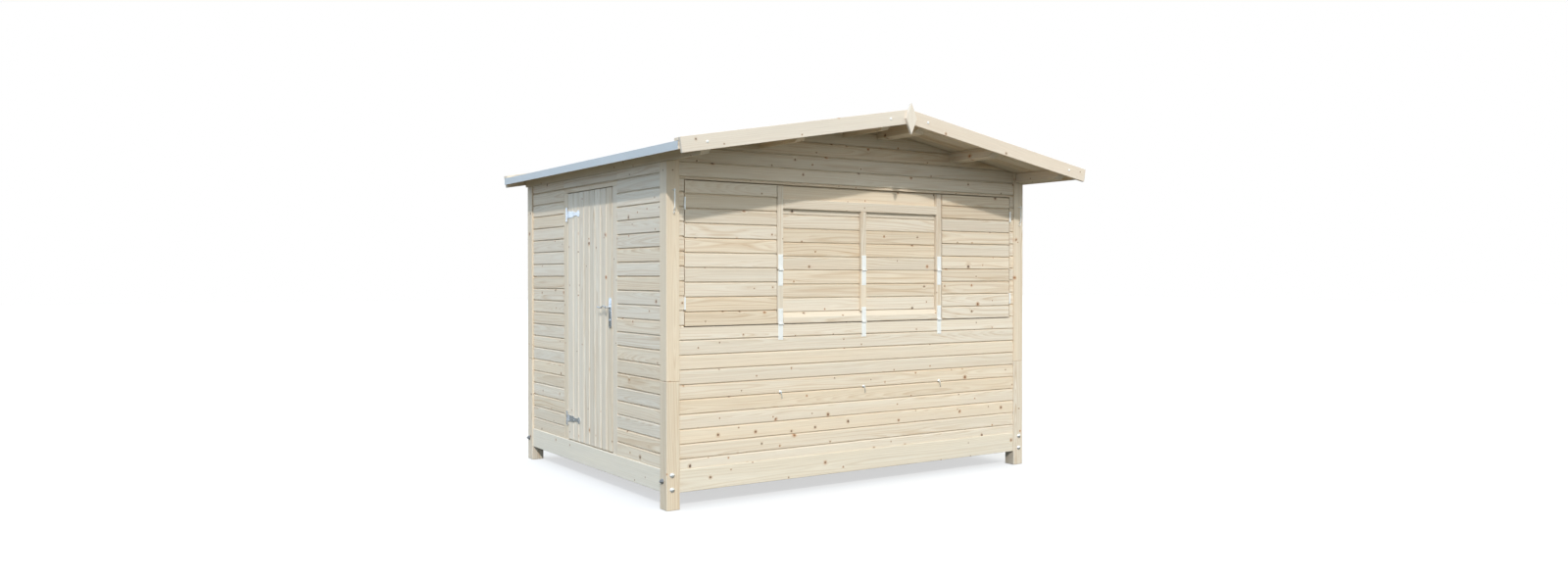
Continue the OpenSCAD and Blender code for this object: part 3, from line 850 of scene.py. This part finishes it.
# %% Stops behind the hatch and the door
inside = box("front_wall")[1][1] + seat
stud_in = 1.440
play, latch_gap, hinge_gap = 0.0015, 0.0055, 0.0045
counter_back = box("counter_flap")[1][1] + play - inside
sill_line, head_line = box("front_wall")[1][2], box("front_gable")[0][2]
overlap, lip, deep = 0.045, 0.022, 0.034
shells = []
for edge, way in ((sill_line, 1), (head_line, -1)):
    outer, inner = edge - way * overlap, edge + way * lip
    rebate = [(outer, 0), (edge, 0), (edge, counter_back), (inner, counter_back),
              (inner, deep), (outer, deep)]
    shells.append(board(np.array(rebate), -stud_in, stud_in, ([0, inside, 0], X, Z, Y)))
timber("hatch_stops", shells)

leaf_low, leaf_high = box("door_leaf")
jamb_low, jamb_high = box("door_jambs")
x0, x1 = leaf_low[0] + leaf_thick + play, jamb_high[0]
y0, y1 = leaf_low[1] - latch_gap, leaf_high[1] + hinge_gap
z0, z1 = jamb_low[2] + seat, jamb_high[2]
wide, high = 0.020, 0.022
between = y0 + wide + seat, y1 - wide - seat
shells = [
    ledge([x0, y0, z0], [x1, y0 + wide, z1], 2),
    ledge([x0, y1 - wide, z0], [x1, y1, z1], 2),
    ledge([x0, between[0], z0], [x1, between[1], z0 + high], 1),
    ledge([x0, between[0], z1 - high], [x1, between[1], z1], 1),
]
timber("door_stops", shells)
print("stops: 2 at the hatch and 4 at the door")

# %% [markdown]
# ## Beams with eased edges
#
# Posts, sills, purlins and bargeboards are planed and their edges are eased. Their CAD shapes are
# right apart from that. So each is a copy of the CAD mesh, merged, cleared of the triangles'
# diagonals, and bevelled by a few millimetres. The grain follows the longest side of each part.

# %% Eased copies


def eased(node, ease, material, sloped=False, tone=None):
    """Copy a CAD node, bevel its edges and give every loose part its own grain and tint."""
    mesh = bpy.data.objects[node].data.copy()
    mesh.name = node + "_timber"
    mesh.materials.clear()
    work = bmesh_of(mesh, merge=True)
    bmesh.ops.dissolve_limit(work, angle_limit=math.radians(1), verts=work.verts, edges=work.edges)
    sharp = [edge for edge in work.edges if edge.calc_face_angle(0) > math.radians(20)]
    bmesh.ops.bevel(work, geom=sharp, offset=ease, segments=2, profile=0.5, affect="EDGES",
                    clamp_overlap=True)
    turn_outwards(work, mesh)
    grain_attributes(mesh, sloped, tone)
    return finish_piece(node + "_timber", mesh, material, "hut", [node])


def islands(mesh):
    """Number of the loose part that each point belongs to, by passing low numbers along edges."""
    edges = np.empty(len(mesh.edges) * 2, int)
    mesh.edges.foreach_get("vertices", edges)
    edges = edges.reshape(-1, 2)
    label = np.arange(len(mesh.vertices))
    while True:
        lowest = label.copy()
        np.minimum.at(lowest, edges[:, 0], label[edges[:, 1]])
        np.minimum.at(lowest, edges[:, 1], label[edges[:, 0]])
        if (lowest == label).all():
            return label
        label = lowest


def grain_attributes(mesh, sloped, tone):
    """grain = place in the part, longest side first, from the part's middle. tint = random.

    tone, if given, replaces the tint's second number, and 1 is the warmest wood.

    A sloped part is first turned level: with s = 1 on the right side and -1 on the left,
    x' = s * x * cos(pitch) - z * sin(pitch) and z' = s * x * sin(pitch) + z * cos(pitch).
    """
    points, label = mesh_points(mesh), islands(mesh)
    grain, tint = np.zeros_like(points), np.zeros_like(points)
    for part in np.unique(label):
        chosen = label == part
        spot = points[chosen]
        if sloped:
            x, y, z = spot.T
            x = x * np.sign(x.mean())
            spot = np.column_stack([x * math.cos(roof_pitch) - z * math.sin(roof_pitch), y,
                                    x * math.sin(roof_pitch) + z * math.cos(roof_pitch)])
        low, high = spot.min(0), spot.max(0)
        first = int(np.argmax(high - low))
        order = [first] + [axis for axis in range(3) if axis != first]
        shift, tints = wood_numbers()
        tints[1] = tints[1] if tone is None else tone
        grain[chosen] = (spot - (low + high) / 2)[:, order] + shift
        tint[chosen] = tints
    add_attribute(mesh, "grain", grain)
    add_attribute(mesh, "tint", tint)


beams = (
    (0.005, "front_left_post front_right_post rear_left_post rear_right_post"),
    (0.004, "front_sill rear_sill left_sill right_sill"),
    (0.003, "floor_joists"), (0.002, "hatch_studs"),
    (0.003, "door_jambs ridge_purlins mid_purlins eave_purlins"),
    (0.002, "front_bargeboards rear_bargeboards finials"), (0.0015, "eave_laths"),
    (0.002, "roof_edge_battens"),
)
finishes = {"sill": fair, "bargeboards": barge, "finials": barge}
warmest = 0.95
for ease, nodes in beams:
    for node in nodes.split():
        eased(node, ease, finishes.get(node.split("_")[-1], planed),
              sloped=node.endswith(("bargeboards", "battens")),
              tone=warmest if node == "front_left_post" else None)
print("eased:", sum(len(nodes.split()) for ease, nodes in beams), "nodes")

# %% [markdown]
# ## Roof boards and floor boards
#
# The roof boards run down the slope from ridge to eave, with their V joints to the inside, so
# that the overhang shows fine lines. The floor boards run across the joists.

# %% Roof boards and floor
deck_low, deck_high = box("left_roof_boards")
slope_length = eave_x / math.cos(roof_pitch)
clear = 0.0004
for side, name in ((-1, "left"), (1, "right")):
    down = np.array([side * math.cos(roof_pitch), 0, -math.sin(roof_pitch)])
    under = np.array([0, 0, float(roof_z(0, deck_thick))]) + clear * roof_up(side)
    lean = deck_thick * math.tan(roof_pitch)
    shells = panel(deck_low[1] + board_pitch, deck_low[1], deck_high[1], deck_thick - 2 * clear,
                   (under, down, Y, roof_up(side)), lean + 0.001, slope_length - lean - 0.001,
                   bevels=((0.005, 0.005), (0.005, 0.006)))
    timber(name + "_roof_planks", shells, [name + "_roof_boards"])
    print(name, "slope:", len(shells), "boards")

lower, upper = box("floor_boards")
floor_thick = upper[2] - lower[2]
post_in = box("front_left_post")[1]
front_notch, rear_notch = post_in[1], box("rear_left_post")[0][1]
wide, narrow = upper[0], -post_in[0]
floor_pitch, plain = 0.12, (0.001, 0.001)
lines = joint_lines(lower[1] + floor_pitch, front_notch + 0.02, rear_notch - 0.02, floor_pitch)
edges = [lower[1], front_notch, *lines, rear_notch, upper[1]]
shells = []
for first, last in zip(edges[:-1], edges[1:]):
    half = narrow if last == front_notch or first == rear_notch else wide
    section = board_section(last - first, floor_thick, plain, plain,
                            last < upper[1], first > lower[1]) + [first, 0]
    shells.append(board(section, -half, half, ([0, 0, upper[2]], X, Y, -Z)))
piece("floor_planks", shells, planed, "hut", ["floor_boards"])
print("floor:", len(shells), "boards")

# %% [markdown]
# ## Turned and bent metal
#
# Screws, bolts and hooks are turned or bent from wire. A turned head is a profile of radius and
# height swept round an axis. A bent wire is a circle carried along a path, and each ring is
# turned to face along the path there.

# %% Turning and sweeping


def turned(profile, origin, axis, sides=16):
    """Turn a profile of (radius, height) pairs round an axis through origin.

    Point = origin + radius * (cos(t) * u + sin(t) * v) + height * axis, where u and v are square
    to the axis. The profile's ends have a small radius, and a flat cap closes each.
    """
    axis = np.asarray(axis, float)
    u = np.cross(axis, [0.0, 0.0, 1.0])
    if np.linalg.norm(u) < 0.1:
        u = np.cross(axis, [0.0, 1.0, 0.0])
    u /= np.linalg.norm(u)
    v = np.cross(axis, u)
    angle = np.linspace(0, 2 * math.pi, sides, endpoint=False)
    circle = np.cos(angle)[:, None] * u + np.sin(angle)[:, None] * v
    profile = np.asarray(profile, float)
    rings = profile[:, None, :1] * circle + profile[:, None, 1:] * axis + np.asarray(origin, float)
    return loft(rings)


def bent(path, radius, sides=10, squash=1.0):
    """Carry a circle along a path. Each ring is square to the path's direction there."""
    path = np.asarray(path, float)
    radius = np.broadcast_to(radius, len(path))
    along = np.gradient(path, axis=0)
    along /= np.linalg.norm(along, axis=1)[:, None]
    side = np.cross(along, [0.31, 0.17, 0.93])
    side /= np.linalg.norm(side, axis=1)[:, None]
    other = np.cross(along, side) * squash
    angle = np.linspace(0, 2 * math.pi, sides, endpoint=False)
    turns = (np.cos(angle)[None, :, None] * side[:, None]
             + np.sin(angle)[None, :, None] * other[:, None])
    return loft(path[:, None] + radius[:, None, None] * turns)


def arc(centre, radius, start, stop, u, v, count=9):
    """Points on a circle: centre + radius * (cos(t) * u + sin(t) * v), t from start to stop."""
    t = np.radians(np.linspace(start, stop, count))[:, None]
    return np.asarray(centre) + radius * (np.cos(t) * np.asarray(u) + np.sin(t) * np.asarray(v))


def dome(radius, height):
    """Profile of a round head: a quarter of an ellipse, with a small flat on top."""
    t = np.radians([0, 25, 50, 70, 86])
    return [(radius * 0.92, -0.0005), *zip(radius * np.cos(t), height * np.sin(t))]


screw_head = [(0.0036, -0.0004), (0.0038, 0.0003), (0.0032, 0.0010), (0.0016, 0.0014),
              (0.0005, 0.0012)]
print("helpers ready: turned, bent, arc, dome")

# %% [markdown]
# ## Roofing felt
#
# Three courses of felt lie on each slope, each lapped over the one below, with a strip over the
# ridge. The laps are real steps of a few millimetres. The courses keep inside the CAD sheet's
# place, and the lap lines run level. Clout nails hold each lap.

# %% Felt courses and nails
felt_low, felt_high = box("roof_felt")
felt_thick = 0.0018


def felt_course(side, x0, x1, y0, y1, lift0, lift1):
    """One sheet on a slope from x0 out to x1, whose upper edge lies on lift0 and lower on lift1."""
    xs = np.linspace(x0, x1, 9)
    ys = np.linspace(y0, y1, 3)
    lift = np.interp(xs, [x0, x1], [lift0, lift1])
    tops, unders = -(lift + felt_thick), -lift
    section = np.concatenate([
        np.column_stack([side * xs, roof_z(xs, unders)]),
        np.column_stack([side * xs, roof_z(xs, tops)])[::-1]])
    rings = np.stack([np.column_stack([section[:, 0], np.full(len(section), y), section[:, 1]])
                      for y in ys])
    return loft(rings)


lap, courses, strip_wide = 0.09, 3, 0.16
glued, over_lap = 0.0006, 0.0026
course = (felt_high[0] + lap * (courses - 1)) / courses
outers = [felt_high[0] - k * (course - lap) for k in range(courses)]
shells = [felt_course(side, max(outer - course, 0.001), outer, felt_low[1], felt_high[1],
                      glued, glued if outer == outers[0] else over_lap)
          for side in (-1, 1) for outer in outers]
shells += [felt_course(side, 0.0, strip_wide, felt_low[1], felt_high[1], 0.0046, 0.0030)
           for side in (-1, 1)]
piece("felt_courses", shells, mineral, "hut", ["roof_felt"])

clout = [(0.0048, -0.0006), (0.0050, 0.0004), (0.0034, 0.0009), (0.0008, 0.0010)]
nail_rows = [strip_wide - 0.025] + [outer - 0.020 for outer in outers[1:]]
nail_seat = -0.0052
nails = [turned(clout, (side * x, y, float(roof_z(x, nail_seat))), roof_up(side), 8)
         for side in (-1, 1) for x in nail_rows
         for y in np.arange(felt_low[1] + 0.06, felt_high[1] - 0.03, 0.096)]
piece("felt_nails", nails, zinc, "hut", smooth=40)
print("felt:", courses, "courses a side of", round(course, 3), "m, and", len(nails), "nails")

# %% [markdown]
# ## Hinges
#
# The hinge leaves and knuckles keep their CAD shape. The plates on the walls are one CAD node, so
# it is split into the zinc plates and the door's smoother bars. Each leaf gets its screws, in
# pairs near the knuckle and near the end.

# %% Hinge plates and screws


def part_of(node, name, keep, material, replaced=()):
    """The triangles of a CAD node whose corners all pass keep(x), copied and merged."""
    source = bpy.data.objects[node].data
    corner_of = np.empty(len(source.loops), int)
    source.loops.foreach_get("vertex_index", corner_of)
    corners = mesh_points(source)[corner_of].reshape(-1, 3, 3)
    corners = corners[keep(corners[..., 0]).all(axis=1)]
    faces = np.arange(corners.shape[0] * 3).reshape(-1, 3)
    mesh = bpy.data.meshes.new(name)
    mesh.from_pydata(corners.reshape(-1, 3).tolist(), [], faces.tolist())
    turn_outwards(bmesh_of(mesh, merge=True), mesh)
    return finish_piece(name, mesh, material, "hut", replaced, 35)


side_face = box("left_wall_front")[1][0]
part_of("hinge_plates", "wall_hinge_plates", lambda x: x > side_face, zinc, ["hinge_plates"])
part_of("hinge_plates", "door_hinge_bars", lambda x: x <= side_face, satin)
plate_thick, half_stile, half_strap = 0.0025, 0.024, 0.024
hinge_y = box("front_wall")[0][1] - plate_thick
hatch_line = box("front_wall")[1][2] + 0.0035
half_counter = box("counter_flap")[1][0] - half_stile
stile_xs = (-half_counter, 0.0, half_counter)
rows = (0.024, 0.092)


def screws(spots, axis, body, name):
    """Small screw heads at given spots, all along one axis."""
    shells = [turned(screw_head, spot, axis, 12) for spot in spots]
    piece(name, shells, zinc, body, smooth=40)
    print(name, len(shells))


def plate_spots(line, way):
    """Screw places on three counter hinge plates that reach up (way 1) or down (-1) from a line."""
    return [(x + dx, hinge_y, line + way * row)
            for x in stile_xs for row in rows for dx in (-0.010, 0.010)]


screws(plate_spots(hatch_line, -1), -Y, "hut", "counter_plate_screws")
flap_spots = plate_spots(hatch_line, 1) + plate_spots(fold_line, -1)
screws(flap_spots, -Y, "counter_flap", "flap_plate_screws")
screws(plate_spots(fold_line, 1), -Y, "counter_brace", "brace_plate_screws")

screws(ledge_screws["door"], X, "door", "door_ledge_screws")
for body in ("left_shutter", "right_shutter"):
    screws(ledge_screws[body], Y, body, body + "_ledge_screws")

strap_low, strap_high = box("door_straps")
strap_face = box("door_leaf")[0][0] - 0.004
door_hinges = [strap_low[2] + half_strap, strap_high[2] - half_strap]
hinge_line = strap_high[1] - 0.007
strap_spots = [(strap_face, hinge_line - run, z + dz)
               for z in door_hinges for run, dz in ((0.020, 0.012), (0.020, -0.012), (0.120, 0),
                                                    (0.205, 0.006), (0.222, -0.006))]
screws(strap_spots, -X, "door", "strap_screws")
bar_spots = [(strap_face, hinge_line + 0.020, z + dz)
             for z in door_hinges for dz in (-0.040, 0, 0.040)]
screws(bar_spots, -X, "hut", "strap_bar_screws")

# %% [markdown]
# ## Bolts, hooks and bargeboard screws
#
# Coach bolts hold the sills to the posts: round heads at the front and back, and nuts on washers
# on the sides. Two long cabin hooks hang on the front posts, and three small hooks wait for the
# counter's brace. The bargeboards are held by big pale screws.

# %% Bolts


def nut(spot, axis):
    """A washer, a six-sided nut and the end of the bolt."""
    washer = [(0.0180, 0.0), (0.0184, 0.0004), (0.0184, 0.0020), (0.0178, 0.0024)]
    hexagon = [(0.0128, 0.0022), (0.0138, 0.0034), (0.0138, 0.0112), (0.0122, 0.0124)]
    thread = [(0.0050, 0.0115), (0.0057, 0.0125), (0.0057, 0.0200), (0.0040, 0.0215)]
    return [turned(washer, spot, axis, 24), turned(hexagon, spot, axis, 6),
            turned(thread, spot, axis, 12)]


bolts, nuts = [], []
bolt_rows, bolt_in = (0.133, 0.227), 0.040
bolt_head = dome(0.0180, 0.010)
nut_places = {-1: (0.060, 0.185), 1: (0.030, 0.175)}
for side, end in ((-1, -1), (1, -1), (-1, 1), (1, 1)):
    post = ("front" if end < 0 else "rear") + ("_left" if side < 0 else "_right") + "_post"
    corners = box(post)
    x, y = corners[(side + 1) // 2][0], corners[(end + 1) // 2][1]
    bolts += [turned(bolt_head, (x - side * bolt_in, y, z), end * Y, 24) for z in bolt_rows]
    nut_in, nut_z = nut_places[end]
    nuts += nut((x, y - end * nut_in, nut_z), side * X)
piece("coach_bolts", bolts, bright, "hut", smooth=35)
piece("sill_nuts", nuts, dark, "hut", smooth=35)
print("bolts:", len(bolts), "nuts:", len(nuts) // 3)

# %% Hooks
lower, upper = box("cabin_hooks")
face = box("front_left_post")[0][1]
out, drop, bend = 0.026, 0.126, 0.013
top_z = upper[2] - 0.005
foot_z, catch_z = top_z - drop + 0.016, top_z - drop - 0.014
hooks = []
for side in (-1, 1):
    x = side * (upper[0] - 0.005)
    eye = arc((x, face - out, top_z), 0.0062, 0, 340, Z, Y, 18)
    stem = np.linspace((x, face + 0.004, top_z), (x, face - 0.019, top_z), 3)
    straight = np.linspace((x, face - out, top_z - 0.006), (x, face - out, foot_z), 6)
    curl = arc((x, face - out + bend, foot_z), bend, 180, 300, Y, Z, 9)
    catch = arc((x, face - 0.014, catch_z), 0.0085, 10, 330, Y, Z, 16)
    catch_stem = [(x, face + 0.004, catch_z), (x, face - 0.006, catch_z)]
    hooks += [bent(eye, 0.0024, 8), bent(stem, 0.0036, 12),
              bent(np.concatenate([straight, curl[1:]]), 0.0039, 12),
              bent(catch, 0.0021, 8), bent(catch_stem, 0.0028, 10)]
piece("cabin_hook_wires", hooks, zinc, "hut", ["cabin_hooks"], smooth=50)

lower, upper = box("counter_hooks")
wall_y = box("front_wall")[0][1]
hook_wire = 0.0034
rosette = [(0.0118, 0.0), (0.0125, 0.0008), (0.0110, 0.0036), (0.0060, 0.0058),
           (0.0036, 0.0064)]
hooks = []
for x in stile_xs:
    z = upper[2] - 0.0035
    stem = np.linspace((x, wall_y + 0.004, z), (x, wall_y - 0.008, z), 3)
    tail = np.linspace((x, wall_y - 0.0135, z - 0.008), (x + 0.004, wall_y - 0.0125, z - 0.044), 5)
    hooks.append(bent(np.concatenate([stem, tail]), hook_wire, 12))
    hooks.append(turned(rosette, (x, wall_y, z), -Y, 20))
piece("counter_hook_wires", hooks, bright, "hut", ["counter_hooks"], smooth=50)

# %% Bargeboard screws
barge_screws = []
front_y, rear_y = box("front_bargeboards")[0][1], box("rear_bargeboards")[1][1]
barge_top, half_barge = -0.025, 0.048
screw_xs = (0.165, eave_x - 0.187)
big_screw = dome(0.0095, 0.004)
for y, axis in ((front_y, -Y), (rear_y, Y)):
    for sx in (-1, 1):
        for x in screw_xs:
            spot = (sx * x, y, float(roof_z(x, barge_top + half_barge)))
            barge_screws.append(turned(big_screw, spot, axis, 14))
piece("bargeboard_screws", barge_screws, zinc, "hut", smooth=35)
print("hooks and", len(barge_screws), "bargeboard screws made")

# %% [markdown]
# ## Door handle
#
# A long backplate with rounded corners carries a wavy lever, with a lock cylinder under it. The
# plate is a rounded outline lofted in a few rings, and the lever is a flat-oval bar bent in a
# gentle S and thinned towards its tip. The same set sits on the inside.

# %% Handle


def rounded_plate(origin, u, v, out, width, height, thick, radius=0.019):
    """A plate with round corners: a rounded rectangle, and smaller copies of it for its edge."""
    quarter = np.radians(np.arange(0, 91, 15))
    turns = [(1, 1, 0), (-1, 1, 90), (-1, -1, 180), (1, -1, 270)]
    outline = np.concatenate([
        np.column_stack([sx * (width / 2 - radius) + radius * np.cos(quarter + math.radians(by)),
                         sy * (height / 2 - radius) + radius * np.sin(quarter + math.radians(by))])
        for sx, sy, by in turns])
    rings = []
    for inset, lift in ((0, -0.0003), (0, thick * 0.55), (0.0012, thick * 0.85), (0.0032, thick)):
        ring = outline * (1 - 2 * inset / np.array([width, height]))
        rings.append(origin + ring[:, :1] * u + ring[:, 1:] * v + lift * out)
    return loft(np.stack(rings))


leaf_low, leaf_high = box("door_leaf")
spindle_in, spindle_high = 0.026, 1.287
plate_size, plate_down = (0.040, 0.218, 0.0075), 0.041
lever_out, lever_long, lever_bow, lever_wave = 0.041, 0.132, 0.006, 0.0085
hub_profile = [(0.0150, 0.004), (0.0155, 0.009), (0.0125, 0.013), (0.0092, 0.016),
               (0.0085, 0.040), (0.0070, 0.044)]
cylinder = [(0.0088, 0.0), (0.0088, 0.0035), (0.0078, 0.0045), (0.0060, 0.0045)]
shells = []
for face, out in ((leaf_low[0], -X), (leaf_low[0] + leaf_thick, X)):
    hub = np.array([face, leaf_low[1] + spindle_in, spindle_high])
    shells.append(rounded_plate(hub - Z * plate_down, Y, Z, out, *plate_size))
    shells.append(turned(hub_profile, hub, out, 24))
    t = np.linspace(0, 1, 15)
    wave = np.column_stack([
        np.full(15, face) + out[0] * (lever_out - lever_bow * np.sin(t * math.pi)),
        hub[1] + 0.004 + lever_long * t,
        hub[2] + lever_wave * np.sin(t * 2 * math.pi) * (1 - 0.35 * t)])
    shells.append(bent(wave, 0.0088 - 0.0028 * t, 14, 0.72))
    for dz in (0.060, -0.142):
        shells.append(turned(screw_head, hub + out * 0.0075 + Z * dz, out, 12))
    shells.append(turned(cylinder, hub + out * 0.0072 + Z * -0.092, out, 20))
piece("door_handle_set", shells, chrome, "door", ["door_handle"], smooth=40)
print("handle parts:", len(shells))

# %% [markdown]
# ## Eave edging and the last lines
#
# The edging and the hinges keep their CAD shape and only get a finish.

# %% Finishes of the CAD shapes
cad_finishes = {"door_straps": satin, "left_shutter_hinges": zinc, "right_shutter_hinges": zinc,
                "counter_flap_hinges": zinc, "counter_brace_hinges": zinc, "eave_edgings": coated}
for node, material in cad_finishes.items():
    shown = bpy.data.objects[node].data
    shown.materials.clear()
    shown.materials.append(material)
print("CAD shapes with a finish:", len(cad_finishes))
